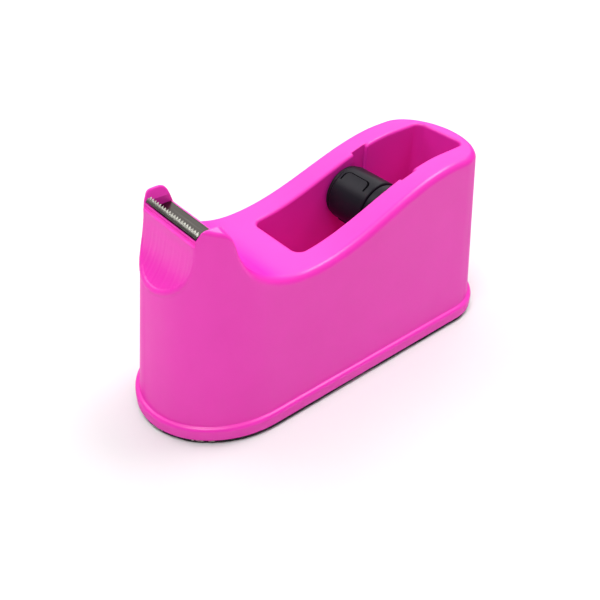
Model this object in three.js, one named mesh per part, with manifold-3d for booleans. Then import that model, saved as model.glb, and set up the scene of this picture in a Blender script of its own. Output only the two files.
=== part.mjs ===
// Desktop tape dispenser: one moulded body with a saddle-shaped top, a serrated cutter between two
// horns, and a lift-out hub for rolls on a 25 mm core. Millimetres, +Z up.
// The front (cutter) is at -X, the rear at +X, and the origin is under the middle, on the table.
import * as THREE from 'three';
import { mergeVertices } from 'three/addons/utils/BufferGeometryUtils.js';
import Module from 'manifold-3d';

const wasm = await Module();
wasm.setup();

// ---- driving dimensions -------------------------------------------------------------------------
const BASE_LENGTH = 180.4;
const BASE_WIDTH = 70;
const NOSE_LENGTH = 40.7;      // length of the half-elliptic front end, in plan
const TAIL_LENGTH = 27.9;      // length of the half-elliptic rear end, in plan
const GAP = 0.3;               // clearance between pieces that touch

const SOLE_THICKNESS = 1.6;
const SOLE_INSET = 1.2;        // the sole is cut a little smaller than the base
const FLANGE_BOTTOM = SOLE_THICKNESS + GAP;
const FLANGE_TOP = 8.2;
const FLANGE_ROUND = 1.1;
const LEDGE = 2.0;             // step from the flange in to the wall
const DRAFT = 0.097;           // how far the wall leans in for each millimetre of height
const WALL = 2.4;

const HORN_TOP = 94.5;
const HORN_REAR = -60.4;       // the horn's back edge, where it drops to the saddle
const SADDLE_Z = 64.4;         // lowest point of the top, in front of the pocket
const HUMP_Z = 83;             // top of the rear hump
const CUT_TOP = 120;           // anything up to here is open air
const CUT_SIDE = 50;
const CUT_END = BASE_LENGTH / 2 + 5;
// Side view of the top, from the back of the horns over the saddle to the rear hump.
const SADDLE = new THREE.SplineCurve([
  [-59.2, 81.5], [-56.2, 76.4], [-50.4, 70.9], [-43.3, 66.9], [-35.5, 64.9], [-26.4, SADDLE_Z],
  [-8.9, 66.3], [8.6, 71.6], [26.1, 77.6], [43.6, 81.3], [61.1, HUMP_Z - 0.2], [78, HUMP_Z],
].map(([x, z]) => new THREE.Vector2(x, z)));
const SADDLE_STEPS = 44;

const SCOOP_RADIUS = 26.6;     // finger scoop under the cutter, a cylinder along Y
const SCOOP_X = -100;
const SCOOP_Z = 86;
const SCOOP_START = -75 * Math.PI / 180;
const LIP_X = SCOOP_X + SCOOP_RADIUS;
const LIP_Z = 88.4;
const ROOF_START = -8 * Math.PI / 180;  // where the inside of the scoop turns into the roof
const ROOF_X = -64.5;
const ROOF_Z = 81.9;

const CHANNEL_HALF = 16.6;     // half the distance between the horns
const SEAT_Z = 86.7;           // plastic face under the cutter's platform
const RISER_X = -72.1;
const RISER_Z = 89.9;
const SEAT_FRONT_X = -68.5;

const POCKET_FRONT = -23.4;
const POCKET_REAR = 73.4;
const POCKET_HALF_FRONT = 14.6;
const POCKET_HALF_REAR = 13.5;
const POCKET_CORNER = 3;
const POCKET_FLOOR = 13;
const POCKET_WALL = 2.2;

const HUB_X = 27.9;
const HUB_Z = 62.8;
const HUB_RADIUS = 12.4;
const HUB_HALF = 13.3;         // half length of the hub over its end caps
const SLEEVE_LEFT = 11;        // y of the sleeve's ends: one cap is a thin disc, the other a ring
const SLEEVE_RIGHT = -8.3;
const SLEEVE_WALL = 2;
const SLEEVE_EDGE = 0.6;
const CAP_RADIUS = 11.8;
const CAP_EDGE = 0.5;
const PLUG_LENGTH = 3.5;       // how far a cap reaches into the sleeve
const FINGERS = 3;             // spring fingers cut in the sleeve, which grip the core
const FINGER_Y = 1.9;          // middle of a finger
const FINGER_HALF = 7.5;
const FINGER_LENGTH = 7;
const FINGER_SLIT = 0.8;
const FINGER_ANGLE = -13 * Math.PI / 180;  // free edge of the first finger, forward of the top
const AXLE_RADIUS = 1.8;
const AXLE_HALF = 15.2;
const LIFT_ANGLE = 30 * Math.PI / 180;  // the hub lifts out leaning this far back from upright

const SLOT_HALF = AXLE_RADIUS + GAP;
const SLOT_FLOOR = 15.6;       // |y| of the bottom of the two axle slots
const NOTCH_FRONT = 32.4;      // mouth of the slots in the rim
const NOTCH_REAR = 40.2;
const NOTCH_BOTTOM = 67;
const SLOT_RUN = 40;           // length of the leaning part, long enough to pass the rim
const SLOT_BLOCK_HALF = 18.4;  // |y| of the thick wall behind the slots
const SLOT_BLOCK_FRONT = 21;
const SLOT_BLOCK_REAR = 47;
const SLOT_BLOCK_BOTTOM = 50;

const BLADE_THICKNESS = 0.5;
const BLADE_HALF = CHANNEL_HALF - GAP;
const BLADE_TAB = 1;           // the platform's ends sit this far into grooves in the horns
const PLATFORM_TOP = SEAT_Z + GAP + BLADE_THICKNESS;
const PLATFORM_REAR = -60.9;
const GROOVE_REAR = -56;
const FOLD_X = -71.3;          // front edge of the cutter
const FOLD_Z = 90.8;
const TIP_X = -69.3;           // points of the teeth
const TIP_Z = 92.6;
const TOOTH_PITCH = 1.6;
const TOOTH_DEPTH = 1.1;

const PLATE_THICKNESS = 2;
const PLATE_INSET = 2.3;
const PLATE_TOP = FLANGE_BOTTOM + PLATE_THICKNESS;
const POST_RADIUS = 3.6;
const SCREW_PLACES = [[-66, 0], [80.6, 0], [-34, 19], [-34, -19], [62, 21.5], [62, -21.5]];
const SCREW_RADIUS = 1.4;
const SCREW_HEAD_RADIUS = 3;
const SCREW_HEAD_HEIGHT = 1.5;
const SCREW_LENGTH = 12;
const SCREW_TIP = 2;

const BLOCK_FRONT = -61.5;     // ballast block in the nose
const BLOCK_REAR = -28;
const BLOCK_INSET = 9;
const BLOCK_HEIGHT = 40;
const SLAB_FRONT = -20;        // ballast plate under the pocket
const SLAB_REAR = 70;
const SLAB_HALF = 12.5;

const ARC_STEPS = 10;          // segments per quarter of a plan ellipse
const ROUND_STEPS = 40;        // sides of a round piece

const noseX = -BASE_LENGTH / 2 + NOSE_LENGTH;
const tailX = BASE_LENGTH / 2 - TAIL_LENGTH;

// ---- solids: closed three.js geometry to a manifold and back --------------------------------------
function solid(geometry) {
  const bare = geometry.index ? geometry.toNonIndexed() : geometry.clone();
  bare.deleteAttribute('normal');
  bare.deleteAttribute('uv');
  const merged = mergeVertices(bare, 1e-4);
  return new wasm.Manifold(new wasm.Mesh({
    numProp: 3,
    vertProperties: new Float32Array(merged.attributes.position.array),
    triVerts: new Uint32Array(merged.index.array),
  }));
}

function geometryOf(manifold) {
  const mesh = manifold.getMesh();
  const geometry = new THREE.BufferGeometry();
  geometry.setAttribute('position', new THREE.BufferAttribute(new Float32Array(mesh.vertProperties), 3));
  geometry.setIndex(new THREE.BufferAttribute(new Uint32Array(mesh.triVerts), 1));
  return geometry;
}

function box(x0, x1, y0, y1, z0, z1) {
  const geometry = new THREE.BoxGeometry(x1 - x0, y1 - y0, z1 - z0);
  geometry.translate((x0 + x1) / 2, (y0 + y1) / 2, (z0 + z1) / 2);
  return solid(geometry);
}

function upright(x, y, z0, z1, bottomRadius, topRadius = bottomRadius, sides = 24) {
  const geometry = new THREE.CylinderGeometry(topRadius, bottomRadius, z1 - z0, sides);
  geometry.rotateX(Math.PI / 2);
  geometry.translate(x, y, (z0 + z1) / 2);
  return solid(geometry);
}

function crossways(x, z, halfLength, radius, sides = ROUND_STEPS) {
  const geometry = new THREE.CylinderGeometry(radius, radius, 2 * halfLength, sides);
  geometry.translate(x, 0, z);
  return solid(geometry);
}

// An outline drawn in plan (x, y) becomes a prism from z0 to z1.
function prism(shape, z0, z1) {
  const geometry = new THREE.ExtrudeGeometry(shape, {
    depth: z1 - z0, bevelEnabled: false, curveSegments: ARC_STEPS,
  });
  geometry.translate(0, 0, z0);
  return geometry;
}

// An outline drawn in side view (x, z) becomes a prism across Y.
function sidePrism(shape, halfWidth, curveSegments = ARC_STEPS) {
  const geometry = new THREE.ExtrudeGeometry(shape, {
    depth: 2 * halfWidth, bevelEnabled: false, curveSegments,
  });
  geometry.rotateX(Math.PI / 2);
  geometry.translate(0, halfWidth, 0);
  return solid(geometry);
}

function polygon(points) {
  return new THREE.Shape(points.map(([x, y]) => new THREE.Vector2(x, y)));
}

// ---- the plan outline and the leaning wall --------------------------------------------------------
function planShape(inset) {
  const half = BASE_WIDTH / 2 - inset;
  const shape = new THREE.Shape();
  shape.moveTo(noseX, half);
  shape.absellipse(noseX, 0, NOSE_LENGTH - inset, half, Math.PI / 2, 3 * Math.PI / 2, false);
  shape.absellipse(tailX, 0, TAIL_LENGTH - inset, half, -Math.PI / 2, Math.PI / 2, false);
  return shape;
}

// A prism of the plan outline whose inset grows with height: inset at z0, leaning in by draft.
function leaningPrism(inset, z0, z1, draft = DRAFT) {
  const geometry = prism(planShape(inset), z0, z1);
  const position = geometry.attributes.position;
  for (let i = 0; i < position.count; i += 1) {
    const lean = draft * (position.getZ(i) - z0);
    const x = position.getX(i);
    const noseScale = 1 - lean / (NOSE_LENGTH - inset);
    const tailScale = 1 - lean / (TAIL_LENGTH - inset);
    if (x < noseX) position.setX(i, noseX + (x - noseX) * noseScale);
    if (x > tailX) position.setX(i, tailX + (x - tailX) * tailScale);
    position.setY(i, position.getY(i) * (1 - lean / (BASE_WIDTH / 2 - inset)));
  }
  return solid(geometry);
}

function wallInset(z) {
  return LEDGE + DRAFT * (z - FLANGE_TOP);
}

// ---- body shell -----------------------------------------------------------------------------------
// Adds the saddle to a side view, or a line at that depth under it.
function followSaddle(shape, depth) {
  for (let i = 0; i <= SADDLE_STEPS; i += 1) {
    const point = SADDLE.getPointAt(i / SADDLE_STEPS);
    const along = SADDLE.getTangentAt(i / SADDLE_STEPS);
    shape.lineTo(point.x + depth * along.y, point.y - depth * along.x);
  }
}

// Side view of the whole outside: scoop, horns, saddle and hump.
function outsideProfile() {
  const shape = new THREE.Shape();
  shape.moveTo(-CUT_END, -CUT_SIDE);
  shape.lineTo(-CUT_END, SCOOP_Z + SCOOP_RADIUS * Math.sin(SCOOP_START));
  shape.absarc(SCOOP_X, SCOOP_Z, SCOOP_RADIUS, SCOOP_START, 0, false);
  shape.lineTo(LIP_X, LIP_Z);
  shape.lineTo(-72.2, 91);
  shape.quadraticCurveTo(-71.6, HORN_TOP - 0.1, -67.8, HORN_TOP);
  shape.lineTo(-65, HORN_TOP);
  shape.quadraticCurveTo(-61.9, HORN_TOP - 0.2, -61.2, 90.5);
  shape.lineTo(HORN_REAR, SEAT_Z);
  followSaddle(shape, 0);
  shape.lineTo(CUT_END, HUMP_Z);
  shape.lineTo(CUT_END, -CUT_SIDE);
  return shape;
}

// The same view of the hollow inside: it follows the scoop, the cutter's seat and the saddle.
function insideProfile() {
  const shape = new THREE.Shape();
  const radius = SCOOP_RADIUS + WALL;
  shape.moveTo(-CUT_END, -CUT_SIDE);
  shape.lineTo(-CUT_END, SCOOP_Z + radius * Math.sin(SCOOP_START));
  shape.absarc(SCOOP_X, SCOOP_Z, radius, SCOOP_START, ROOF_START, false);
  shape.lineTo(ROOF_X, ROOF_Z);
  followSaddle(shape, WALL);
  shape.lineTo(CUT_END, HUMP_Z - WALL);
  shape.lineTo(CUT_END, -CUT_SIDE);
  return shape;
}

function pocketShape(grow) {
  const front = POCKET_FRONT - grow;
  const rear = POCKET_REAR + grow;
  const halfFront = POCKET_HALF_FRONT + grow;
  const halfRear = POCKET_HALF_REAR + grow;
  const corner = POCKET_CORNER + grow;
  const shape = new THREE.Shape();
  shape.moveTo(front, -halfFront + corner);
  shape.quadraticCurveTo(front, -halfFront, front + corner, -halfFront);
  shape.lineTo(rear - corner, -halfRear);
  shape.quadraticCurveTo(rear, -halfRear, rear, -halfRear + corner);
  shape.lineTo(rear, halfRear - corner);
  shape.quadraticCurveTo(rear, halfRear, rear - corner, halfRear);
  shape.lineTo(front + corner, halfFront);
  shape.quadraticCurveTo(front, halfFront, front, halfFront - corner);
  shape.lineTo(front, -halfFront + corner);
  return shape;
}

function flange() {
  const shoulder = FLANGE_TOP - FLANGE_ROUND;
  const band = solid(prism(planShape(0), FLANGE_BOTTOM, shoulder));
  return band.add(leaningPrism(0, shoulder, FLANGE_TOP, 1));
}

// Both axle slots: a round seat, a straight run leaning back, and a wider mouth cut in the rim.
function axleSlots() {
  const run = new THREE.BoxGeometry(2 * SLOT_HALF, 2 * SLOT_FLOOR, SLOT_RUN);
  run.translate(0, 0, SLOT_RUN / 2);
  run.rotateY(LIFT_ANGLE);
  run.translate(HUB_X, 0, HUB_Z);
  const seat = crossways(HUB_X, HUB_Z, SLOT_FLOOR, SLOT_HALF, 24);
  const mouth = box(NOTCH_FRONT, NOTCH_REAR, -SLOT_FLOOR, SLOT_FLOOR, NOTCH_BOTTOM, CUT_TOP);
  return seat.add(solid(run)).add(mouth);
}

function bladeChannel() {
  const open = polygon([
    [-CUT_END, LIP_Z], [RISER_X, LIP_Z], [RISER_X, RISER_Z], [SEAT_FRONT_X, SEAT_Z],
    [GROOVE_REAR, SEAT_Z], [GROOVE_REAR, CUT_TOP], [-CUT_END, CUT_TOP],
  ]);
  const reach = BLADE_HALF + BLADE_TAB + 2 * GAP;
  const grooveTop = SEAT_Z + BLADE_THICKNESS + 2 * GAP;
  const groove = box(SEAT_FRONT_X + 1, GROOVE_REAR, -reach, reach, SEAT_Z, grooveTop);
  return sidePrism(open, CHANNEL_HALF).add(groove);
}

function hollow() {
  const bottom = FLANGE_BOTTOM - 1;
  let space = leaningPrism(wallInset(bottom) + WALL, bottom, HORN_TOP);
  space = space.intersect(sidePrism(insideProfile(), CUT_SIDE));
  space = space.subtract(solid(prism(pocketShape(POCKET_WALL), POCKET_FLOOR - POCKET_WALL, CUT_TOP)));
  space = space.subtract(box(
    SLOT_BLOCK_FRONT, SLOT_BLOCK_REAR, -SLOT_BLOCK_HALF, SLOT_BLOCK_HALF, SLOT_BLOCK_BOTTOM, CUT_TOP,
  ));
  const postBottom = PLATE_TOP + GAP;
  for (const [x, y] of SCREW_PLACES) {
    space = space.subtract(upright(x, y, postBottom, CUT_TOP, POST_RADIUS));
  }
  return space.add(solid(prism(planShape(PLATE_INSET - GAP), bottom, postBottom)));
}

function pilotHoles() {
  const depth = SCREW_LENGTH + 2;
  const holes = SCREW_PLACES.map(([x, y]) => upright(
    x, y, FLANGE_BOTTOM, FLANGE_BOTTOM + depth, SCREW_RADIUS + GAP, SCREW_RADIUS + GAP, 16,
  ));
  return holes.reduce((all, hole) => all.add(hole));
}

function bodyShell() {
  let body = leaningPrism(wallInset(FLANGE_BOTTOM), FLANGE_BOTTOM, HORN_TOP + 1).add(flange());
  body = body.intersect(sidePrism(outsideProfile(), CUT_SIDE));
  body = body.subtract(solid(prism(pocketShape(0), POCKET_FLOOR, CUT_TOP)));
  body = body.subtract(axleSlots());
  body = body.subtract(bladeChannel());
  body = body.subtract(hollow());
  return body.subtract(pilotHoles());
}

// ---- cutter blade --------------------------------------------------------------------------------
// A bent strip: flat platform, a ramp up to the front fold, and a serrated leg leaning back.
function cutterBlade() {
  const platformBottom = PLATFORM_TOP - BLADE_THICKNESS;
  const rampFoot = SEAT_FRONT_X + 0.4;
  const section = polygon([
    [PLATFORM_REAR, platformBottom], [PLATFORM_REAR, PLATFORM_TOP], [rampFoot, PLATFORM_TOP],
    [FOLD_X + 1.45 * BLADE_THICKNESS, FOLD_Z - 0.1 * BLADE_THICKNESS],
    [TIP_X + 0.55 * BLADE_THICKNESS, TIP_Z - 0.75 * BLADE_THICKNESS],
    [TIP_X, TIP_Z], [FOLD_X, FOLD_Z], [rampFoot - 0.5 * BLADE_THICKNESS, platformBottom],
  ]);
  const tabReach = BLADE_HALF + BLADE_TAB;
  const tabs = box(SEAT_FRONT_X + 1.6, PLATFORM_REAR, -tabReach, tabReach, platformBottom, PLATFORM_TOP);
  const blade = sidePrism(section, BLADE_HALF).add(tabs);
  return toothNotches().reduce((cut, notch) => cut.subtract(notch), blade);
}

// One V-shaped cutter per gap between teeth, square to the serrated leg.
function toothNotches() {
  const count = Math.floor(2 * BLADE_HALF / TOOTH_PITCH);
  const depth = 6;
  const open = TOOTH_DEPTH;
  const outline = polygon([[-TOOTH_PITCH / 2, open], [0, -TOOTH_DEPTH], [TOOTH_PITCH / 2, open]]);
  const notches = [];
  for (let i = 0; i < count; i += 1) {
    const geometry = new THREE.ExtrudeGeometry(outline, { depth, bevelEnabled: false });
    geometry.translate(0, 0, -depth / 2);
    geometry.rotateX(Math.PI / 2);
    geometry.rotateZ(Math.PI / 2);
    geometry.rotateY(Math.PI / 4);
    geometry.translate(TIP_X, (i - (count - 1) / 2) * TOOTH_PITCH, TIP_Z);
    notches.push(solid(geometry));
  }
  return notches;
}

// ---- hub -----------------------------------------------------------------------------------------
// Lathe profiles are drawn as (radius, y), so the turned pieces already lie along Y.
function turned(profile) {
  const points = profile.map(([radius, y]) => new THREE.Vector2(radius, y));
  return new THREE.LatheGeometry(points, ROUND_STEPS);
}

function hubSleeve() {
  const inner = HUB_RADIUS - SLEEVE_WALL;
  let sleeve = solid(turned([
    [inner, SLEEVE_RIGHT], [HUB_RADIUS - SLEEVE_EDGE, SLEEVE_RIGHT],
    [HUB_RADIUS, SLEEVE_RIGHT + SLEEVE_EDGE], [HUB_RADIUS, SLEEVE_LEFT - SLEEVE_EDGE],
    [HUB_RADIUS - SLEEVE_EDGE, SLEEVE_LEFT], [inner, SLEEVE_LEFT], [inner, SLEEVE_RIGHT],
  ]));
  for (let i = 0; i < FINGERS; i += 1) {
    for (const slit of fingerSlits()) {
      slit.rotateY(FINGER_ANGLE + i * 2 * Math.PI / FINGERS);
      sleeve = sleeve.subtract(solid(slit));
    }
  }
  return sleeve;
}

// The U-shaped slit that frees one spring finger, at the top of the sleeve.
function fingerSlits() {
  const reach = 4 * SLEEVE_WALL;
  const end = new THREE.BoxGeometry(FINGER_SLIT, 2 * FINGER_HALF + FINGER_SLIT, reach);
  const side = new THREE.BoxGeometry(FINGER_LENGTH, FINGER_SLIT, reach);
  return [
    end.translate(0, FINGER_Y, HUB_RADIUS),
    side.clone().translate(-FINGER_LENGTH / 2, FINGER_Y + FINGER_HALF, HUB_RADIUS),
    side.translate(-FINGER_LENGTH / 2, FINGER_Y - FINGER_HALF, HUB_RADIUS),
  ];
}

// An end cap with its plug, drawn for the +Y end, against a sleeve that ends at that y.
function hubCap(sleeveEnd) {
  const bore = AXLE_RADIUS + GAP;
  const plug = HUB_RADIUS - SLEEVE_WALL - GAP;
  const face = sleeveEnd + GAP;
  return turned([
    [bore, face - PLUG_LENGTH], [plug, face - PLUG_LENGTH], [plug, face], [CAP_RADIUS, face],
    [CAP_RADIUS, HUB_HALF - CAP_EDGE], [CAP_RADIUS - CAP_EDGE, HUB_HALF], [bore, HUB_HALF],
    [bore, face - PLUG_LENGTH],
  ]);
}

function hubAxle() {
  const edge = 0.4;
  return turned([
    [0, -AXLE_HALF], [AXLE_RADIUS - edge, -AXLE_HALF], [AXLE_RADIUS, -AXLE_HALF + edge],
    [AXLE_RADIUS, AXLE_HALF - edge], [AXLE_RADIUS - edge, AXLE_HALF], [0, AXLE_HALF],
  ]);
}

// ---- inside and underneath -----------------------------------------------------------------------
function ballastBlock() {
  const bottom = PLATE_TOP + GAP;
  let block = solid(prism(planShape(BLOCK_INSET), bottom, bottom + BLOCK_HEIGHT));
  block = block.intersect(box(BLOCK_FRONT, BLOCK_REAR, -CUT_SIDE, CUT_SIDE, 0, CUT_TOP));
  for (const [x, y] of SCREW_PLACES) {
    block = block.subtract(upright(x, y, 0, CUT_TOP, POST_RADIUS + 2 * GAP));
  }
  return block;
}

function ballastPlate() {
  const top = POCKET_FLOOR - POCKET_WALL - GAP;
  return box(SLAB_FRONT, SLAB_REAR, -SLAB_HALF, SLAB_HALF, PLATE_TOP + GAP, top);
}

function basePlate() {
  let plate = solid(prism(planShape(PLATE_INSET), FLANGE_BOTTOM, PLATE_TOP));
  for (const [x, y] of SCREW_PLACES) {
    plate = plate.subtract(upright(x, y, 0, PLATE_TOP + 1, SCREW_RADIUS + GAP, SCREW_RADIUS + GAP, 16));
    plate = plate.subtract(upright(
      x, y, FLANGE_BOTTOM - 1, FLANGE_BOTTOM + SCREW_HEAD_HEIGHT + GAP,
      SCREW_HEAD_RADIUS + GAP + 1, SCREW_RADIUS + GAP, 16,
    ));
  }
  return plate;
}

function baseScrew() {
  const geometry = new THREE.LatheGeometry([
    [0, 0], [SCREW_HEAD_RADIUS, 0], [SCREW_HEAD_RADIUS, 0.2], [SCREW_RADIUS, SCREW_HEAD_HEIGHT],
    [SCREW_RADIUS, SCREW_LENGTH - SCREW_TIP], [0, SCREW_LENGTH],
  ].map(([radius, y]) => new THREE.Vector2(radius, y)), 16);
  geometry.rotateX(Math.PI / 2);
  return geometry;
}

// ---- materials -----------------------------------------------------------------------------------
function material(color, roughness, metalness) {
  return new THREE.MeshStandardMaterial({ color, roughness, metalness });
}
const pinkPlastic = material(0xe94fb5, 0.38, 0);
const blackPlastic = material(0x26242a, 0.42, 0);
const bladeSteel = material(0x8d8a84, 0.3, 1);
const pinSteel = material(0xb4b4b6, 0.35, 1);
const castIron = material(0x4b4b4d, 0.7, 1);
const soleFoam = material(0x2c2a2c, 0.95, 0);

// ---- assembly ------------------------------------------------------------------------------------
const dispenser = new THREE.Group();

function place(name, geometry, look, x = 0, y = 0, z = 0, parent = dispenser) {
  const mesh = new THREE.Mesh(geometry, look);
  mesh.name = name;
  mesh.position.set(x, y, z);
  parent.add(mesh);
  return mesh;
}

place('body_shell', geometryOf(bodyShell()), pinkPlastic);
place('cutter_blade', geometryOf(cutterBlade()), bladeSteel);

const hub = new THREE.Group();
hub.position.set(HUB_X, 0, HUB_Z);
dispenser.add(hub);
place('hub_axle', hubAxle(), pinSteel, 0, 0, 0, hub);
place('hub_sleeve', geometryOf(hubSleeve()), blackPlastic, 0, 0, 0, hub);
place('hub_cap_left', hubCap(SLEEVE_LEFT), blackPlastic, 0, 0, 0, hub);
const rightCap = place('hub_cap_right', hubCap(-SLEEVE_RIGHT), blackPlastic, 0, 0, 0, hub);
rightCap.rotation.x = Math.PI;

place('ballast_block', geometryOf(ballastBlock()), castIron);
place('ballast_plate', geometryOf(ballastPlate()), castIron);
place('base_plate', geometryOf(basePlate()), blackPlastic);
SCREW_PLACES.forEach(([x, y], i) => {
  place(`base_screw_${i + 1}`, baseScrew(), pinSteel, x, y, FLANGE_BOTTOM + 0.1);
});
place('antislip_sole', prism(planShape(SOLE_INSET), 0, SOLE_THICKNESS), soleFoam);

export default dispenser;
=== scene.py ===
"""Looks of a bright pink desktop tape dispenser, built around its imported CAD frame.

Metres in Blender, +Z up, the cutter at -X. Shapes are drawn in millimetres and scaled by MM.
Moulded pieces are surfaces where a distance function is zero: meet, join and cut round their edges.
"""
import math

import bpy
import numpy as np
from mathutils import Matrix, Vector


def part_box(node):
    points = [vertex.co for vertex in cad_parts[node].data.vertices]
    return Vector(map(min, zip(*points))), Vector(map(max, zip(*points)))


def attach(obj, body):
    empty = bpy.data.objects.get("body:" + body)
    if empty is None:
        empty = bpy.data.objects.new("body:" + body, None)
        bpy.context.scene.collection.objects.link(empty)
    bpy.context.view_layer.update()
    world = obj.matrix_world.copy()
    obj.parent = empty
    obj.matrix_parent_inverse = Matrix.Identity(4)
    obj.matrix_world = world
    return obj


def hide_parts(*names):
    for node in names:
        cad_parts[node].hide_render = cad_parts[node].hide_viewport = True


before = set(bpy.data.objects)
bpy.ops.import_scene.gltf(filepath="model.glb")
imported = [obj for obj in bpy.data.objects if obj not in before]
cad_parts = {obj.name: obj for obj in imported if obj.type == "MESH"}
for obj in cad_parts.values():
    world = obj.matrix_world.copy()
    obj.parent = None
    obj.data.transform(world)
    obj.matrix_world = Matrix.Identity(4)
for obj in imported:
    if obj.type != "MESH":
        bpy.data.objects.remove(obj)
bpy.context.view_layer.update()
MM = 0.001
# Keeps a divisor away from zero.
TINY = 1e-6

# ---- places and sizes from the frame, in millimetres -------------------------------------------
shell_low, shell_high = (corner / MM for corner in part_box("body_shell"))
sleeve_low, sleeve_high = (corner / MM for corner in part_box("hub_sleeve"))
axle_low, axle_high = (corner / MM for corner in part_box("hub_axle"))
_, blade_high = (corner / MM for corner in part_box("cutter_blade"))
_, sole_high = (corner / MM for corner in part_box("antislip_sole"))

BASE_LENGTH = shell_high.x - shell_low.x
BASE_WIDTH = shell_high.y - shell_low.y
FLANGE_BOTTOM = shell_low.z
HORN_TOP = shell_high.z
HUB_X = (sleeve_low.x + sleeve_high.x) / 2
HUB_Z = (sleeve_low.z + sleeve_high.z) / 2
HUB_RADIUS = (sleeve_high.z - sleeve_low.z) / 2

# ---- driving sizes of the moulded body, in millimetres -----------------------------------------
# _X, _FRONT and _REAR are places along the length, _Y a place across, from the middle, and _Z,
# _TOP, _BOTTOM and _FOOT heights above the table. _HALF is half of a width, _ROUND the radius of a
# rounded edge, and GAP the clearance between pieces.
GAP = 0.3
NOSE_LENGTH = 40.7
TAIL_LENGTH = 27.9
NOSE_X = -BASE_LENGTH / 2 + NOSE_LENGTH
TAIL_X = BASE_LENGTH / 2 - TAIL_LENGTH
FLANGE_TOP = 8.2
FLANGE_ROUND = 1.75
FLANGE_FOOT_ROUND = 0.9
LEDGE = 2.0
LEDGE_FILLET = 0.5
DRAFT = 0.097
WALL = 2.4
EDGE_ROUND = 3.2
HORN_EDGE_ROUND = 1.0
HORN_EDGE_START = -54.0
HORN_EDGE_LENGTH = 8.0

SADDLE_X = -26.4
SADDLE_Z = 64.4
DIP_LENGTH = 32.8
DIP_HEIGHT = 23.0
RISE = 18.6
RISE_LENGTH = 84.0

HORN_ROUND = 4.2
HORN_REAR_ROUND = 2.6
HORN_CREST_Y = 18.2
HORN_SLOPE = 0.6
HORN_LEAN = 0.3
HORN_FRONT = -73.3
HORN_FRONT_FADE = 0.1
HORN_FOOT = 86.0
CHANNEL_HALF = 16.6
CHANNEL_ROUND = 0.7
CHANNEL_FLARE = 0.32
HORN_INNER_ROUND = 0.9
HORN_INNER_BLEND = 2.0
SEAT_Z = 86.7
SEAT_FRONT = -68.5
RISER_X = -71.65
RISER_Z = 90.4
LIP_Z = 88.4
LIP_DEPTH = 1.1

SCOOP_RADIUS = 26.6
SCOOP_X = -100.0
SCOOP_Z = 86.0
SCOOP_ROUND = 1.3
BEAD_RADIUS = 0.62
BEAD_SINK = 0.33
BEAD_TOP = 84.0
BEAD_FADE = 14.0
RIB_DEPTH = 0.05
RIB_TOP = LIP_Z - 1.5
RIB_FADE = 2.0
RIB_PITCHES = (1.55, 2.35, 3.7)

POCKET_FRONT = -23.4
POCKET_REAR = 73.4
POCKET_FRONT_HALF = 14.6
POCKET_REAR_HALF = 13.5
POCKET_CORNER = 4.0
POCKET_BOTTOM = 13.0
POCKET_FLOOR_ROUND = 2.0
RIM_ROUND = 1.4

LIFT_ANGLE = math.radians(30)
SLOT_HALF = 2.1
SLOT_END_Y = 15.6
SLOT_RUN = 40.0
NOTCH_FRONT = 32.4
NOTCH_REAR = 40.2
NOTCH_BOTTOM = 67.0
NOTCH_ROUND = 0.45
NOTCH_CORNER = SLOT_HALF / 2

PLATE_RECESS_INSET = 2.0
PLATE_RECESS_TOP = 4.2
POST_RADIUS = 3.6
PILOT_RADIUS = 1.7
PILOT_TOP = 15.9
SCREW_NODES = [f"base_screw_{i}" for i in range(1, 7)]
SCREWS = [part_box(node) for node in SCREW_NODES]
SCREW_PLACES = [((low.x + high.x) / 2 / MM, (low.y + high.y) / 2 / MM) for low, high in SCREWS]

# ---- driving sizes of the hub, in millimetres --------------------------------------------------
SLEEVE_WALL = 2.0
SLEEVE_EDGE = 0.8
SLEEVE_INNER_EDGE = 0.2
FINGERS = 3
FINGER_Y = 2.3
FINGER_HALF = 7.0
FINGER_LENGTH = 5.0
FINGER_CORNER = 2.6
FINGER_LIFT = 0.5
FINGER_SLIT = 0.65
FINGER_SLIT_EDGE = 0.3
FINGER_ANGLE = math.radians(-13)

# ---- driving sizes of the cutter, in millimetres; points are (along X, height) -----------------
BLADE_THICKNESS = 0.5
BLADE_FOOT_X = SEAT_FRONT + 0.4
BLADE_FOLD = Vector((-71.3, 90.8))
BLADE_TIP = Vector((-69.3, 92.6))
BEVEL_LENGTH = 1.35
TOOTH_PITCH = 1.6
TOOTH_DEPTH = 1.1


# ---- distance functions: below zero inside, in millimetres -------------------------------------
def meet(a, b, radius):
    """The part inside both a and b, with the edge between them rounded."""
    corner = np.hypot(np.maximum(a + radius, 0), np.maximum(b + radius, 0))
    return np.minimum(-radius, np.maximum(a, b)) + corner


def join(a, b, radius):
    """The part inside a or b, with the inner corner between them filled."""
    corner = np.hypot(np.maximum(radius - a, 0), np.maximum(radius - b, 0))
    return np.maximum(radius, np.minimum(a, b)) - corner


def cut(a, b, radius):
    """The part inside a and outside b, with the edge rounded."""
    return meet(a, -b, radius)


def plan(x, y, inset):
    """Distance outside the base's outline, two half ellipses and two straights, moved in by inset."""
    half = BASE_WIDTH / 2 - inset
    reach = np.where(x < NOSE_X, NOSE_LENGTH, TAIL_LENGTH) - inset
    along = (np.minimum(x - NOSE_X, 0) + np.maximum(x - TAIL_X, 0)) / reach
    across = y / half
    spread = np.maximum(np.hypot(along, across), TINY)
    slope = np.hypot(along / reach, across / half) / spread
    return (spread - 1) / np.maximum(slope, TINY)


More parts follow.
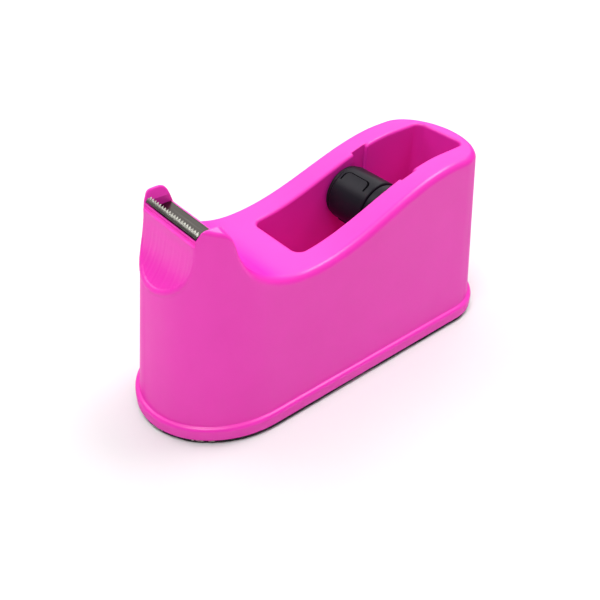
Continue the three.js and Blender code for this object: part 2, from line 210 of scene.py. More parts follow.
def over_saddle(x, z):
    """Distance above the top's side view: a quarter ellipse behind the horns, then a smooth rise."""
    share = np.clip((x - SADDLE_X) / RISE_LENGTH, 0, 1)
    rise = RISE * np.sin(share * math.pi / 2) ** 2
    tilt = RISE / RISE_LENGTH * math.pi / 2 * np.sin(share * math.pi)
    lean = HORN_LEAN * np.maximum(z - HORN_FOOT, 0)
    along = np.minimum(x + lean - SADDLE_X, 0) / DIP_LENGTH
    down = np.minimum(z - rise - SADDLE_Z - DIP_HEIGHT, 0) / DIP_HEIGHT
    spread = np.maximum(np.hypot(along, down), TINY)
    slope = np.hypot(along / DIP_LENGTH, down / DIP_HEIGHT) / spread
    return (1 - spread) / np.maximum(slope, 1 / DIP_LENGTH) / np.hypot(1, tilt)


def horn_top(x, y, z):
    """Distance outside the horns' top, which slopes down outward, and outside their front."""
    slope = HORN_SLOPE * np.maximum(np.abs(y) - HORN_CREST_Y, 0)
    front = HORN_FRONT - x - HORN_FRONT_FADE * np.maximum(HORN_FOOT - z, 0) ** 2
    return meet((z - HORN_TOP + slope) / math.hypot(1, HORN_SLOPE), front, HORN_ROUND)


def scoop(x, y, z):
    """The finger scoop under the cutter: a crosswise cylinder with faint upright tool marks."""
    marks = sum(np.cos(2 * math.pi * y / pitch + pitch) for pitch in RIB_PITCHES) / len(RIB_PITCHES)
    depth = np.hypot(x - SCOOP_X, np.minimum(z - SCOOP_Z, 0)) - SCOOP_RADIUS
    fade = np.clip((RIB_TOP - z) / RIB_FADE, 0, 1)
    return depth + RIB_DEPTH * marks * fade


def above_seat(x, z):
    """Distance above the plastic under the cutter: lip, riser, ramp and flat seat."""
    run = SEAT_FRONT - RISER_X
    fall = RISER_Z - SEAT_Z
    ramp = ((x - RISER_X) * fall + (z - RISER_Z) * run) / math.hypot(run, fall)
    lip = np.maximum(z - LIP_Z, x - RISER_X - LIP_DEPTH)
    return np.minimum(np.minimum(z - SEAT_Z, lip), np.maximum(ramp, RISER_X - x))


def channel(x, y, z):
    """The air above the cutter, wider toward the tips of the horns."""
    half = CHANNEL_HALF + CHANNEL_FLARE * np.maximum(z - RISER_Z, 0)
    return np.maximum(np.abs(y) - half, -above_seat(x, z))


def pocket(x, y, z):
    """The pocket for the roll, a little narrower toward the rear."""
    share = (x - POCKET_FRONT) / (POCKET_REAR - POCKET_FRONT)
    half = POCKET_FRONT_HALF + (POCKET_REAR_HALF - POCKET_FRONT_HALF) * share
    ends = np.abs(x - (POCKET_FRONT + POCKET_REAR) / 2) - (POCKET_REAR - POCKET_FRONT) / 2
    sides = meet(ends, np.abs(y) - half, POCKET_CORNER)
    return meet(sides, POCKET_BOTTOM - z, POCKET_FLOOR_ROUND)


def slots(x, y, z):
    """Both axle slots: a run leaning back from the hub's seat, and a wider mouth in the rim."""
    lean_x, lean_z = math.sin(LIFT_ANGLE), math.cos(LIFT_ANGLE)
    along = np.clip((x - HUB_X) * lean_x + (z - HUB_Z) * lean_z, 0, SLOT_RUN)
    run = np.hypot(x - HUB_X - along * lean_x, z - HUB_Z - along * lean_z) - SLOT_HALF
    middle = (NOTCH_FRONT + NOTCH_REAR) / 2
    half = (NOTCH_REAR - NOTCH_FRONT) / 2
    mouth = meet(np.abs(x - middle) - half, NOTCH_BOTTOM - z, NOTCH_CORNER)
    return np.maximum(np.abs(y) - SLOT_END_Y, np.minimum(run, mouth))


def posts(x, y, radius):
    """Upright cylinders of that radius, one on each base screw."""
    return np.min([np.hypot(x - px, y - py) for px, py in SCREW_PLACES], axis=0) - radius


def shell(x, y, z):
    """The whole pink moulding, hollow from below, with a post over each base screw."""
    wall = plan(x, y, LEDGE + DRAFT * (z - FLANGE_TOP))
    top = meet(over_saddle(x, z), horn_top(x, y, z), HORN_REAR_ROUND)
    near_horns = np.clip((HORN_EDGE_START - x) / HORN_EDGE_LENGTH, 0, 1)
    body = meet(wall, top, EDGE_ROUND + (HORN_EDGE_ROUND - EDGE_ROUND) * near_horns)
    air = scoop(x, y, z)
    body = cut(body, air, SCOOP_ROUND)
    bead_radius = BEAD_RADIUS * np.clip((BEAD_TOP - z) / BEAD_FADE, 0, 1)
    body = join(body, np.hypot(wall + BEAD_SINK, air - BEAD_SINK) - bead_radius, BEAD_SINK)
    above_lip = np.clip((z - RISER_Z) / HORN_INNER_BLEND, 0, 1)
    rounding = CHANNEL_ROUND + (HORN_INNER_ROUND - CHANNEL_ROUND) * above_lip
    body = cut(body, channel(x, y, z), rounding)
    body = cut(body, pocket(x, y, z), RIM_ROUND)
    body = cut(body, slots(x, y, z), NOTCH_ROUND)
    band = meet(plan(x, y, 0), z - FLANGE_TOP, FLANGE_ROUND)
    band = meet(band, FLANGE_BOTTOM - z, FLANGE_FOOT_ROUND)
    outer = np.maximum(join(body, band, LEDGE_FILLET), FLANGE_BOTTOM - z)
    solid_posts = np.maximum(posts(x, y, POST_RADIUS), PLATE_RECESS_TOP - z)
    hollow = np.maximum(body + WALL, -solid_posts)
    recess = np.maximum(plan(x, y, PLATE_RECESS_INSET), z - PLATE_RECESS_TOP)
    pilots = np.maximum(posts(x, y, PILOT_RADIUS), z - PILOT_TOP)
    return np.maximum(outer, -np.minimum(np.minimum(hollow, recess), pilots))


def sleeve(x, y, z):
    """The hub's drum, with three spring fingers freed by U-shaped slits. Its axis is at the origin."""
    radius = np.hypot(x, z)
    sector = 2 * math.pi / FINGERS
    turn = np.arctan2(x, z) - FINGER_ANGLE
    turn = turn - sector * np.round(turn / sector)
    arc = turn * HUB_RADIUS + FINGER_LENGTH
    finger = meet(np.abs(arc) - FINGER_LENGTH, np.abs(y - FINGER_Y) - FINGER_HALF, FINGER_CORNER)
    radius = radius - np.where(finger < 0, FINGER_LIFT * np.clip(arc / FINGER_LENGTH, 0, 1) ** 2, 0)
    middle = (sleeve_low.y + sleeve_high.y) / 2
    ends = np.abs(y - middle) - (sleeve_high.y - sleeve_low.y) / 2
    drum = meet(radius - HUB_RADIUS, ends, SLEEVE_EDGE)
    drum = meet(drum, HUB_RADIUS - SLEEVE_WALL - radius, SLEEVE_INNER_EDGE)
    slit = np.maximum(np.abs(finger) - FINGER_SLIT / 2, -arc)
    return cut(drum, slit, FINGER_SLIT_EDGE)


# ---- meshes ------------------------------------------------------------------------------------
def grid_lines(start, end, coarse, fine_spans=(), fine=None):
    """Grid coordinates from start to end, closer together inside the fine spans."""
    lines = [start]
    while lines[-1] < end:
        here = lines[-1]
        near = any(low <= here < high for low, high in fine_spans)
        lines.append(here + (fine if near else coarse))
    return np.array(lines)


def surface_net(field, xs, ys, zs):
    """Points and quads of the surface where field is zero: one point in each cell it crosses."""
    lines = (xs, ys, zs)
    values = field(*np.meshgrid(xs, ys, zs, indexing="ij"))
    inside = values < 0
    cells = np.array(values.shape) - 1
    corners, crossings, flips = [], [], []
    for axis in range(3):
        u, v = (axis + 1) % 3, (axis + 2) % 3
        low, high = [slice(None)] * 3, [slice(None)] * 3
        low[axis], high[axis] = slice(0, -1), slice(1, None)
        index = np.argwhere(inside[tuple(low)] != inside[tuple(high)])
        ahead = index.copy()
        ahead[:, axis] += 1
        a, b = values[tuple(index.T)], values[tuple(ahead.T)]
        place = np.stack([lines[k][index[:, k]] for k in range(3)], 1)
        step = lines[axis][ahead[:, axis]] - lines[axis][index[:, axis]]
        place[:, axis] += a / (a - b) * step
        around = []
        for du, dv in ((0, 0), (-1, 0), (-1, -1), (0, -1)):
            cell = index.copy()
            cell[:, u] += du
            cell[:, v] += dv
            around.append(np.ravel_multi_index(cell.T, cells))
        corners.append(np.stack(around, 1))
        crossings.append(place)
        flips.append(a > 0)
    corners, crossings, flips = map(np.concatenate, (corners, crossings, flips))
    _, quads = np.unique(corners, return_inverse=True)
    quads = quads.reshape(-1, 4)
    count = np.bincount(quads.ravel())
    sums = [np.bincount(quads.ravel(), weights=np.repeat(crossings[:, k], 4)) for k in range(3)]
    quads[flips] = quads[flips][:, ::-1]
    return np.stack(sums, 1) / count[:, None], quads


def slope_of(field, points, step=0.02):
    """How fast the field grows along X, Y and Z at each point."""
    columns = []
    for axis in range(3):
        shift = np.zeros(3)
        shift[axis] = step
        columns.append(field(*(points + shift).T) - field(*(points - shift).T))
    return np.stack(columns, 1) / (2 * step)


def settle(field, points, rounds=3, reach=0.3, least_square=0.05):
    """Moves points onto the surface by Newton steps of limited length."""
    for _ in range(rounds):
        slope = slope_of(field, points)
        push = -field(*points.T) / np.maximum((slope ** 2).sum(1), least_square)
        move = push[:, None] * slope
        length = np.linalg.norm(move, axis=1, keepdims=True)
        points = points + move * np.minimum(1, reach / np.maximum(length, TINY))
    return points


def new_object(name, mesh):
    piece = bpy.data.objects.new(name, mesh)
    bpy.context.scene.collection.objects.link(piece)
    return piece


def field_piece(name, field, xs, ys, zs, triangles, place=(0, 0, 0)):
    """A closed mesh of the field's surface, thinned where it is flat, with the field's own normals."""
    points, quads = surface_net(field, xs, ys, zs)
    mesh = bpy.data.meshes.new(name)
    mesh.from_pydata(settle(field, points).tolist(), [], quads.tolist())
    rough = new_object(name + "_rough", mesh)
    thin = rough.modifiers.new("thin", "DECIMATE")
    thin.ratio = min(1.0, triangles / (2 * len(quads)))
    depsgraph = bpy.context.evaluated_depsgraph_get()
    final = bpy.data.meshes.new_from_object(rough.evaluated_get(depsgraph))
    final.name = name
    bpy.data.objects.remove(rough)
    count = len(final.vertices)
    flat = np.empty(3 * count)
    final.vertices.foreach_get("co", flat)
    points = settle(field, flat.reshape(-1, 3), rounds=2, reach=0.1)
    normals = slope_of(field, points)
    normals /= np.maximum(np.linalg.norm(normals, axis=1, keepdims=True), TINY)
    final.vertices.foreach_set("co", ((points + np.array(place)) * MM).ravel())
    final.polygons.foreach_set("use_smooth", np.ones(len(final.polygons), bool))
    final.normals_split_custom_set_from_vertices(normals.tolist())
    final.update()
    return new_object(name, final)


def smooth_mesh(name, points, faces, sharp_degrees=35):
    """A mesh from millimetre points, smooth except where faces turn by more than the sharp angle."""
    mesh = bpy.data.meshes.new(name)
    mesh.from_pydata([(x * MM, y * MM, z * MM) for x, y, z in points], [], faces)
    mesh.polygons.foreach_set("use_smooth", np.ones(len(mesh.polygons), bool))
    mesh.set_sharp_from_angle(angle=math.radians(sharp_degrees))
    mesh.update()
    return new_object(name, mesh)


def loft(sections, closed_path=False):
    """Points and faces that join equal closed sections in order. An open path gets two end caps."""
    size = len(sections[0])
    points = [point for section in sections for point in section]
    faces = []
    last = len(sections) if closed_path else len(sections) - 1
    for i in range(last):
        a = i * size
        b = (i + 1) % len(sections) * size
        for j in range(size):
            k = (j + 1) % size
            faces.append((a + j, a + k, b + k, b + j))
    if not closed_path:
        faces.append(tuple(reversed(range(size))))
        faces.append(tuple(range((len(sections) - 1) * size, len(sections) * size)))
    return points, faces


def turned(name, profile, centre, steps=96):
    """A closed profile of (radius, y) turned about the hub's axis, which runs along Y."""
    sections = []
    for i in range(steps):
        angle = 2 * math.pi * i / steps
        sections.append([
            (centre[0] + r * math.sin(angle), centre[1] + y, centre[2] + r * math.cos(angle))
            for r, y in profile
        ])
    points, faces = loft(sections, closed_path=True)
    return smooth_mesh(name, points, faces)


def rounded(profile, corners, radius, steps=5):
    """The profile with the listed corners replaced by quadratic arcs that start radius away."""
    result = []
    for i, point in enumerate(profile):
        if i not in corners:
            result.append(point)
            continue
        here = Vector(point)
        before = Vector(profile[i - 1]) - here
        after = Vector(profile[(i + 1) % len(profile)]) - here
        start = here + before.normalized() * min(radius, before.length / 2)
        end = here + after.normalized() * min(radius, after.length / 2)
        for k in range(steps + 1):
            t = k / steps
            result.append(tuple(start * (1 - t) ** 2 + here * 2 * t * (1 - t) + end * t ** 2))
    return result


# ---- materials ---------------------------------------------------------------------------------
class Look:
    """A Principled material whose colour, roughness and bump come from procedural nodes."""

    def __init__(self, name, roughness=0.5, metallic=0.0, specular=0.5):
        self.material = bpy.data.materials.new(name)
        self.material.use_nodes = True
        self.nodes = self.material.node_tree.nodes
        self.links = self.material.node_tree.links
        self.shader = self.nodes["Principled BSDF"]
        self.shader.inputs["Roughness"].default_value = roughness
        self.shader.inputs["Metallic"].default_value = metallic
        self.shader.inputs["Specular IOR Level"].default_value = specular
        self.bump = None

    def node(self, kind, **settings):
        made = self.nodes.new(kind)
        for key, value in settings.items():
            setattr(made, key, value)
        return made

    def place(self, stretch=(1, 1, 1)):
        """Object coordinates, squeezed along each axis."""
        coordinates = self.node("ShaderNodeTexCoord")
        mapping = self.node("ShaderNodeMapping")
        mapping.inputs["Scale"].default_value = stretch
        self.links.new(coordinates.outputs["Object"], mapping.inputs["Vector"])
        return mapping.outputs["Vector"]

    def noise(self, scale, detail=4, roughness=0.55, stretch=(1, 1, 1)):
        """Cloudy noise from 0 to 1 with about that many features in a metre."""
        made = self.node("ShaderNodeTexNoise")
        made.inputs["Scale"].default_value = scale
        made.inputs["Detail"].default_value = detail
        made.inputs["Roughness"].default_value = roughness
        self.links.new(self.place(stretch), made.inputs["Vector"])
        return made.outputs["Fac"]

    def ramp(self, value, stops):
        """The colour that value, from 0 to 1, has among the stops."""
        made = self.node("ShaderNodeValToRGB")
        elements = made.color_ramp.elements
        while len(elements) < len(stops):
            elements.new(0.5)
        for element, (position, color) in zip(elements, stops):
            element.position = position
            element.color = (*color, 1)
        self.links.new(value, made.inputs["Fac"])
        return made.outputs["Color"]

    def span(self, value, low, high, start=0.0, end=1.0):
        """value, which runs from start to end, made to run from low to high."""
        made = self.node("ShaderNodeMapRange")
        made.inputs["From Min"].default_value = start
        made.inputs["From Max"].default_value = end
        made.inputs["To Min"].default_value = low
        made.inputs["To Max"].default_value = high
        self.links.new(value, made.inputs["Value"])
        return made.outputs["Result"]

    def color(self, socket):
        self.links.new(socket, self.shader.inputs["Base Color"])

    def rough(self, socket):
        self.links.new(socket, self.shader.inputs["Roughness"])

    def relief(self, socket, distance):
        """Adds a bump of that height in metres on top of any earlier one."""
        made = self.node("ShaderNodeBump")
        made.inputs["Distance"].default_value = distance
        made.inputs["Strength"].default_value = 1.0
        self.links.new(socket, made.inputs["Height"])
        if self.bump is not None:
            self.links.new(self.bump, made.inputs["Normal"])
        self.bump = made.outputs["Normal"]
        self.links.new(self.bump, self.shader.inputs["Normal"])


def pink_plastic():
    """Satin pink that loses its gloss where it is seen at a grazing angle."""
    look = Look("pink_plastic")
    view_angle = look.node("ShaderNodeLayerWeight")
    view_angle.inputs["Blend"].default_value = 0.5
    gloss = look.span(view_angle.outputs["Facing"], 0.5, 0.04, start=0.40, end=0.72)
    look.links.new(gloss, look.shader.inputs["Specular IOR Level"])
    cloud = look.noise(18, detail=3)
    look.color(look.ramp(cloud, [(0.3, (0.88, 0.024, 0.48)), (0.7, (0.92, 0.032, 0.52))]))
    look.rough(look.span(look.noise(60, detail=5), 0.285, 0.36))
    look.relief(look.noise(1400, detail=2), 0.000012)
    look.relief(look.noise(90, detail=1), 0.00006)
    return look.material


def black_plastic():
    look = Look("black_plastic", specular=0.13)
    look.color(look.ramp(look.noise(60), [(0.3, (0.009, 0.008, 0.012)), (0.7, (0.015, 0.013, 0.019))]))
    look.rough(look.span(look.noise(300, stretch=(1, 0.2, 1)), 0.29, 0.4))
    look.relief(look.noise(1600, detail=3), 0.00001)
    return look.material


# Very dark steel for the flat top, bends and hidden faces: the flat top's shade is painted into this
# dark colour.
def blade_steel():
    look = Look("blade_steel", metallic=1.0)
    streak = look.noise(1100, detail=6, roughness=0.7, stretch=(1, 0.03, 1))
    look.color(look.ramp(streak, [
        (0.35, (0.060, 0.052, 0.046)), (0.55, (0.085, 0.076, 0.068)), (0.75, (0.16, 0.148, 0.135)),
    ]))
    look.rough(look.span(streak, 0.17, 0.26))
    look.relief(streak, 0.00001)
    return look.material


# A lighter copy of the strip's steel for the sloped facet and the folded edge: a painted highlight, not
# a different finish.
def facet_steel_painted_highlight():
    look = Look("facet_steel_painted_highlight", metallic=1.0)
    rolled = look.noise(1300, detail=4, stretch=(1, 0.08, 1))
    look.color(look.ramp(rolled, [(0.35, (0.22, 0.21, 0.19)), (0.65, (0.34, 0.33, 0.30))]))
    look.rough(look.span(rolled, 0.17, 0.26))
    look.relief(rolled, 0.00001)
    return look.material


# Light grind-marked steel for the tooth bevels; on the fold's faces it is a painted highlight.
def ground_and_highlight_steel():
    look = Look("ground_and_highlight_steel", metallic=1.0)
    grind_and_highlight = look.noise(1500, detail=5, stretch=(1, 1, 0.1))
    look.color(look.ramp(grind_and_highlight, [(0.35, (0.14, 0.138, 0.12)), (0.65, (0.34, 0.335, 0.30))]))
    look.rough(look.span(grind_and_highlight, 0.17, 0.26))
    look.relief(grind_and_highlight, 0.00001)
    return look.material


def plain_steel(name, tint, streak_stretch):
    look = Look(name, metallic=1.0)
    streak = look.noise(900, detail=5, stretch=streak_stretch)
    light = tuple(1.25 * part for part in tint)
    look.color(look.ramp(streak, [(0.35, tint), (0.65, light)]))
    look.rough(look.span(streak, 0.3, 0.44))
    look.relief(streak, 0.00001)
    return look.material


def cast_iron():
    look = Look("cast_iron", metallic=0.85)
    grain = look.noise(500, detail=8, roughness=0.7)
    look.color(look.ramp(grain, [(0.3, (0.045, 0.045, 0.048)), (0.7, (0.13, 0.13, 0.135))]))
    look.rough(look.span(grain, 0.55, 0.85))
    look.relief(grain, 0.0003)
    return look.material


def plate_plastic():
    look = Look("plate_plastic")
    grain = look.noise(700, detail=4)
    look.color(look.ramp(grain, [(0.3, (0.020, 0.020, 0.022)), (0.7, (0.034, 0.033, 0.036))]))
    look.rough(look.span(grain, 0.5, 0.7))
    look.relief(grain, 0.00005)
    return look.material


def sole_foam():
    look = Look("sole_foam", specular=0.25)
    cells = look.node("ShaderNodeTexVoronoi")
    cells.inputs["Scale"].default_value = 1500
    look.links.new(look.place(), cells.inputs["Vector"])
    look.color(look.ramp(look.noise(900), [(0.3, (0.012, 0.010, 0.012)), (0.7, (0.045, 0.040, 0.046))]))
    look.rough(look.span(look.noise(800), 0.75, 0.98))
    look.relief(cells.outputs["Distance"], 0.00015)
    return look.material


def glue():
    look = Look("dried_glue")
    look.color(look.ramp(look.noise(1200), [(0.3, (0.34, 0.28, 0.24)), (0.7, (0.62, 0.56, 0.50))]))
    look.rough(look.span(look.noise(700), 0.35, 0.6))
    look.relief(look.noise(1500), 0.00008)
    return look.material


# ---- pieces ------------------------------------------------------------------------------------
def finish_piece(piece, body, slot, replaced, *looks):
    """Gives a piece its materials and its body, and hides the CAD nodes it stands for. Its slot is not
    used.
    """
    for look in looks:
        piece.data.materials.append(look)
    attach(piece, body)
    if replaced:
        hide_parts(*replaced)


def make_shell():
    """The moulding, with a finer grid at the nose, the slots, the pocket walls, flange and horns."""
    margin, coarse, fine = 1.5, 0.95, 0.5
    nose, slot_run = (-78.0, -57.0), (25.0, 43.0)
    pocket_wall = (11.5, 24.5)
    flange, rims_and_horns = (0, 10.5), (63.0, 97.0)
    xs = grid_lines(shell_low.x - margin, shell_high.x + margin, coarse, [nose, slot_run], fine)
    left = grid_lines(fine / 2, shell_high.y + margin, coarse, [pocket_wall], fine)
    ys = np.concatenate([-left[::-1], left])
    zs = grid_lines(FLANGE_BOTTOM - margin, HORN_TOP + margin, coarse, [flange, rims_and_horns], fine)
    piece = field_piece("moulded_shell", shell, xs, ys, zs, triangles=170000)
    finish_piece(piece, "root", "pink_shell", ["body_shell"], pink_plastic())


def make_sleeve():
    margin, spacing = 0.6, 0.3
    across = grid_lines(-HUB_RADIUS - margin, HUB_RADIUS + margin, spacing)
    ys = grid_lines(sleeve_low.y - margin, sleeve_high.y + margin, spacing)
    piece = field_piece(
        "hub_drum", sleeve, across, ys, across, triangles=60000, place=(HUB_X, 0, HUB_Z),
    )
    finish_piece(piece, "hub", "black_hub", ["hub_sleeve"], black_plastic())


def make_cap(name, node, side):
    """An end cap: plug, rim and a face with a shallow ring round its bore. side is +1 or -1 along Y."""
    low, high = (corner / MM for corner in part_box(node))
    outer_y = max(abs(low.y), abs(high.y))
    inner_y = min(abs(low.y), abs(high.y))
    face_y = (sleeve_high.y if side > 0 else -sleeve_low.y) + GAP
    rim = (high.z - low.z) / 2
    rim_edge = 0.7
    bore = (axle_high.z - axle_low.z) / 2 + GAP
    plug = HUB_RADIUS - SLEEVE_WALL - GAP
    dish_depth, dish_slope = 0.6, 0.4
    dish_rim, dish_bore = rim - 2.2, bore + 1.8
    dish_y = outer_y - dish_depth
    profile = [
        (bore, inner_y), (plug, inner_y), (plug, face_y), (rim, face_y), (rim, outer_y),
        (dish_rim, outer_y), (dish_rim - dish_slope, dish_y), (dish_bore + dish_slope, dish_y),
        (dish_bore, outer_y), (bore, outer_y),
    ]
    profile = rounded(profile, {3, 4}, rim_edge)
    if side < 0:
        profile = [(r, -y) for r, y in reversed(profile)]
    piece = turned(name, profile, (HUB_X, 0, HUB_Z))
    finish_piece(piece, "hub", "black_hub", [node], black_plastic())


def make_axle():
    """The pin. Its profile stops just short of the axis, where turned points would coincide."""
    radius = (axle_high.z - axle_low.z) / 2
    core = 0.05
    end_edge = 0.5
    profile = [(core, axle_low.y), (radius, axle_low.y), (radius, axle_high.y), (core, axle_high.y)]
    profile = rounded(profile, {1, 2}, end_edge)
    piece = turned("axle_pin", profile, (HUB_X, 0, HUB_Z), steps=48)
    look = plain_steel("pin_steel", (0.48, 0.48, 0.49), (1, 0.05, 1))
    finish_piece(piece, "axle", "pin_steel", ["hub_axle"], look)


def blade_section(tooth):
    """Side view of the cutter where its edge stands that far short of the tooth points."""
    platform = SEAT_Z + GAP + BLADE_THICKNESS
    underside = platform - BLADE_THICKNESS
    rear, foot, fold = blade_high.x, BLADE_FOOT_X, BLADE_FOLD
    up = (BLADE_TIP - fold).normalized()
    back = Vector((up.y, -up.x))
    end = BLADE_TIP - up * tooth
    bevel = BLADE_TIP - up * BEVEL_LENGTH
    flat_top = [(rear, underside), (rear, platform), (foot + 0.6, platform)]
    rear_bend = [(foot, platform + 0.15), (foot - 0.35, platform + 0.55)]
    rear_face = [(fold.x + 0.75, fold.y - 0.35), (fold.x + 0.72, fold.y + 0.02)]
    tooth_rear = [tuple(bevel + back * BLADE_THICKNESS * 0.9), tuple(end + back * 0.08)]
    tooth_front = [tuple(end), tuple(bevel - back * 0.12)]
    facet = [tuple(fold + up * 0.4 - back * 0.08), tuple(fold + up * 0.16 - back * 0.02)]
    folded_edge = [(fold.x + 0.02, fold.y - 0.06), (fold.x + 0.14, fold.y - 0.28)]
    front_bend = [(foot - 0.75, platform + 0.1), (foot - 0.45, platform - 0.35), (foot, underside)]
    upper = flat_top + rear_bend + rear_face + tooth_rear
    return upper + tooth_front + facet + folded_edge + front_bend


# Faces of the cutter with their own steel colour, each by the two corners of the section it runs
# between. Tooth bevels are grind-marked; on the fold's faces the same light steel is a painted
# highlight.
GROUND_AND_HIGHLIGHT_SPOTS = ({8, 9}, {9, 10}, {11, 12}, {12, 13})
# The facet faces below get the lighter steel as a painted highlight.
FACET_SPOTS = ({10, 11}, {13, 14})


def make_blade():
    """The bent strip with its serrated edge. Tooth bevels get light grind-marked steel; the fold's faces
    get the same light steel as a painted highlight, and the facets between get a lighter steel than the
    flat top as a painted highlight.
    """
    half = CHANNEL_HALF - GAP
    count = int(2 * half / TOOTH_PITCH)
    stations = [(-half, TOOTH_DEPTH)]
    for i in range(-count, count + 1):
        stations.append((i * TOOTH_PITCH / 2, 0.0 if (i + count) % 2 else TOOTH_DEPTH))
    stations.append((half, TOOTH_DEPTH))
    sections = []
    for y, tooth in stations:
        sections.append([(x, y, z) for x, z in blade_section(tooth)])
    points, faces = loft(sections)
    piece = smooth_mesh("serrated_cutter", points, faces, sharp_degrees=28)
    looks = (blade_steel(), ground_and_highlight_steel(), facet_steel_painted_highlight())
    ground_and_highlight, facet = 1, 2
    finish_piece(piece, "root", "blade_steel", ["cutter_blade"], *looks)
    size = len(sections[0])
    for polygon in piece.data.polygons:
        spots = {index % size for index in polygon.vertices}
        if len(polygon.vertices) == 4 and spots in GROUND_AND_HIGHLIGHT_SPOTS:
            polygon.material_index = ground_and_highlight
        if len(polygon.vertices) == 4 and spots in FACET_SPOTS:
            polygon.material_index = facet


def outline(inset, spacing=0.8):
    """Points of the base's plan outline, moved in by inset, anticlockwise from above."""
    half = BASE_WIDTH / 2 - inset
    turns = int(math.pi * half / spacing)
    ends = [(NOSE_X, NOSE_LENGTH - inset, math.pi / 2), (TAIL_X, TAIL_LENGTH - inset, -math.pi / 2)]
    straights = int((TAIL_X - NOSE_X) / spacing)
    points = []
    for x, reach, start in ends:
        for i in range(turns + 1):
            angle = start + math.pi * i / turns
            points.append((x + reach * math.cos(angle), half * math.sin(angle)))
        direction = 1 if x == NOSE_X else -1
        for i in range(1, straights):
            step = (TAIL_X - NOSE_X) * i / straights
            points.append((x + direction * step, -direction * half))
    return points


def make_sole():
    """The foam sheet: its cut edge wavers a little and bulges under the weight."""
    rng = np.random.default_rng(7)
    inset = BASE_LENGTH / 2 - sole_high.x
    top = FLANGE_BOTTOM - 0.05
    bulges = [(-0.3, 0.0), (-0.6, 0.25), (-0.75, 0.55 * top), (-0.6, top - 0.2), (-0.2, top)]
    count = len(outline(inset))
    window, waver_size, grain_size = 9, 0.35, 0.12
    steps = rng.normal(0, 1, count + window - 1)
    waver = np.convolve(steps, np.ones(window) / window, "valid") * waver_size
    waver -= waver.min()
    rings = []
    for extra, z in bulges:
        ring = outline(inset + extra)
        rough = rng.uniform(0, grain_size, count)
        moved = []
        for (x, y), push, grain in zip(ring, waver, rough):
            away = Vector((x, y)).normalized() * -(push + grain)
            moved.append((x + away.x, y + away.y, z))
        rings.append(moved)
    points, faces = loft(rings)
    faces = [tuple(reversed(face)) for face in faces]
    piece = smooth_mesh("foam_sole", points, faces, sharp_degrees=60)
    finish_piece(piece, "root", "sole_foam", ["antislip_sole"], sole_foam())


def make_glue():
    """Dried glue squeezed out between sole and flange round the nose, as small flat drops."""
    rng = np.random.default_rng(11)
    stand_out, below_flange = 0.7, 0.25
    turns = (150, 157, 187, 189.5, 192, 195, 216, 220, 223, 228)
    lump = 0.12
    inset = BASE_LENGTH / 2 - sole_high.x - stand_out
    half, reach = BASE_WIDTH / 2 - inset, NOSE_LENGTH - inset
    height = FLANGE_BOTTOM - below_flange
    rings, around = 6, 12
    points, faces = [], []
    for turn in turns:
        angle = math.radians(turn + rng.uniform(-1, 1))
        centre = Vector((NOSE_X + reach * math.cos(angle), half * math.sin(angle), height))
        along = Vector((-math.sin(angle), math.cos(angle), 0))
        out = Vector((math.cos(angle), math.sin(angle), 0))
        length, depth, rise = rng.uniform(0.3, 1.5), rng.uniform(0.14, 0.28), rng.uniform(0.08, 0.2)
        sections = []
        for i in range(1, rings):
            polar = math.pi * i / rings
            ring = []
            for k in range(around):
                bump = 1 + rng.uniform(-lump, lump)
                side = 2 * math.pi * k / around
                offset = along * (length * math.cos(polar))
                offset += out * (depth * math.sin(polar) * math.cos(side) * bump)
                offset.z += rise * math.sin(polar) * math.sin(side) * bump
                ring.append(tuple(centre + offset))
            sections.append(ring)
        drop_points, drop_faces = loft(sections)
        start = len(points)
        points += drop_points
        faces += [tuple(reversed([index + start for index in face])) for face in drop_faces]
    piece = smooth_mesh("glue_drops", points, faces, sharp_degrees=80)
    finish_piece(piece, "root", "sole_foam", [], glue())


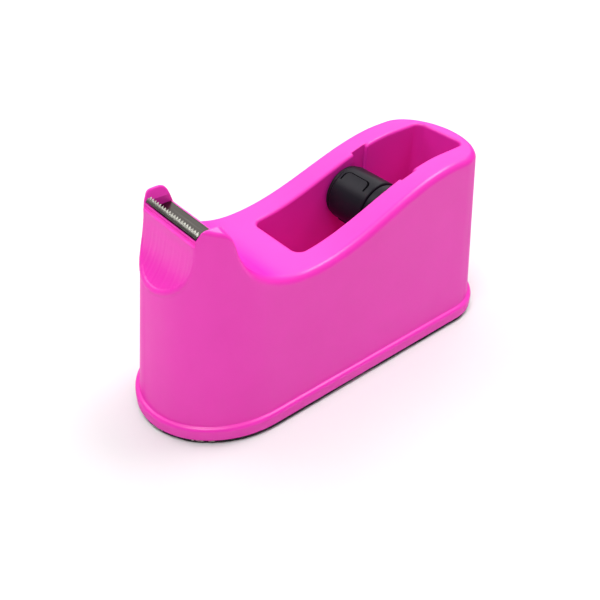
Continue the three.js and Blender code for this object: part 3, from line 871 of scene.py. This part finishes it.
def studio():
    """A pale floor, painted darker round the object as a painted shadow, a sky that brightens upward,
    two soft panels behind and two lamps overhead.
    """
    sky_below, sky_above, sky_bend = 0.22, 0.62, 2.0
    floor_half = 6.0
    # The near stop is a painted shadow round the object; the far stop is the plain floor.
    floor_painted_shadow_near, floor_far = (0.14, (0.78, 0.78, 0.78)), (0.42, (0.95, 0.95, 0.95))
    lights = {
        "panel_behind": {"place": (0.83, 0.96, 1.0), "size": 1.6, "radiance": 1.15},
        "panel_left": {"place": (-0.33, 0.75, 0.95), "size": 0.6, "radiance": 3.2},
        "lamp_right": {"place": (0.62, -0.08, 1.25), "size": 0.5, "radiance": 10.0},
        "lamp_front": {"place": (-0.36, -0.16, 1.03), "size": 0.42, "radiance": 10.0},
    }
    world = bpy.data.worlds.new("sky")
    bpy.context.scene.world = world
    world.use_nodes = True
    nodes, links = world.node_tree.nodes, world.node_tree.links
    direction = nodes.new("ShaderNodeTexCoord")
    split = nodes.new("ShaderNodeSeparateXYZ")
    bend = nodes.new("ShaderNodeMath")
    bend.operation = "POWER"
    bend.inputs[1].default_value = sky_bend
    strength = nodes.new("ShaderNodeMapRange")
    strength.inputs["To Min"].default_value = sky_below
    strength.inputs["To Max"].default_value = sky_above
    links.new(direction.outputs["Generated"], split.inputs["Vector"])
    links.new(split.outputs["Z"], bend.inputs[0])
    links.new(bend.outputs["Value"], strength.inputs["Value"])
    links.new(strength.outputs["Result"], nodes["Background"].inputs["Strength"])
    nodes["Background"].inputs["Color"].default_value = (1.0, 0.99, 0.99, 1)
    mesh = bpy.data.meshes.new("floor")
    corners = [(floor_half * x, floor_half * y, 0) for x, y in ((-1, -1), (1, -1), (1, 1), (-1, 1))]
    mesh.from_pydata(corners, [], [(0, 1, 2, 3)])
    floor = new_object("floor", mesh)
    look = Look("floor_paper", roughness=0.7, specular=0.2)
    distance = look.node("ShaderNodeVectorMath", operation="LENGTH")
    look.links.new(look.place(), distance.inputs[0])
    # Floor colour by distance from the object: a painted shadow near it, with faint random blotches on
    # top.
    painted_shadow_and_blotch = look.node("ShaderNodeMath", operation="MULTIPLY_ADD")
    painted_shadow_and_blotch.inputs[1].default_value = 0.03
    look.links.new(look.noise(3, detail=2), painted_shadow_and_blotch.inputs[0])
    look.links.new(distance.outputs["Value"], painted_shadow_and_blotch.inputs[2])
    look.color(look.ramp(painted_shadow_and_blotch.outputs["Value"], [floor_painted_shadow_near, floor_far]))
    mesh.materials.append(look.material)
    for name, settings in lights.items():
        soft_light(name, **settings)


def soft_light(name, place, size, radiance):
    """A square light of that radiance aimed at the object's middle."""
    middle = Vector((0, 0, 0.04))
    data = bpy.data.lights.new(name, "AREA")
    data.size = size
    data.energy = radiance * math.pi * size ** 2
    light = bpy.data.objects.new(name, data)
    bpy.context.scene.collection.objects.link(light)
    light.location = place
    aim = middle - light.location
    light.rotation_euler = aim.to_track_quat("-Z", "Y").to_euler()


def make_camera():
    """A camera above the cutter's end, looking down toward the hub, and rolled by a small angle."""
    place = (-0.19438, -0.21237, 0.24039)
    yaw, pitch, roll = -0.718, 0.651, 0.031
    lens_mm, sensor_mm, nearest = 47.66, 36.0, 0.01
    data = bpy.data.cameras.new("camera")
    data.lens = lens_mm
    data.sensor_width = sensor_mm
    data.clip_start = nearest
    camera = bpy.data.objects.new("camera", data)
    bpy.context.scene.collection.objects.link(camera)
    level = Vector((math.cos(yaw), math.sin(yaw), 0))
    back = Vector((math.sin(yaw) * math.cos(pitch), -math.cos(yaw) * math.cos(pitch), math.sin(pitch)))
    upright = back.cross(level)
    right = math.cos(roll) * level + math.sin(roll) * upright
    up = math.cos(roll) * upright - math.sin(roll) * level
    turn = Matrix((right, up, back)).transposed().to_4x4()
    camera.matrix_world = Matrix.Translation(place) @ turn
    bpy.context.scene.camera = camera


make_camera()
studio()
make_shell()
make_sleeve()
make_cap("drum_cap_left", "hub_cap_left", 1)
make_cap("drum_cap_right", "hub_cap_right", -1)
make_axle()
make_blade()
make_sole()
make_glue()

# The CAD pieces inside and below keep their shape and get these materials.
ballast_look = cast_iron()
plate_look = plate_plastic()
screw_look = plain_steel("screw_steel", (0.45, 0.45, 0.47), (1, 1, 0.2))
carried_over = {"ballast_block": ballast_look, "ballast_plate": ballast_look, "base_plate": plate_look}
for node in SCREW_NODES:
    carried_over[node] = screw_look
for node, look in carried_over.items():
    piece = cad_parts[node]
    piece.data.materials.clear()
    piece.data.materials.append(look)

view = bpy.context.scene.view_settings
view.view_transform = "Standard"
view.look = "None"
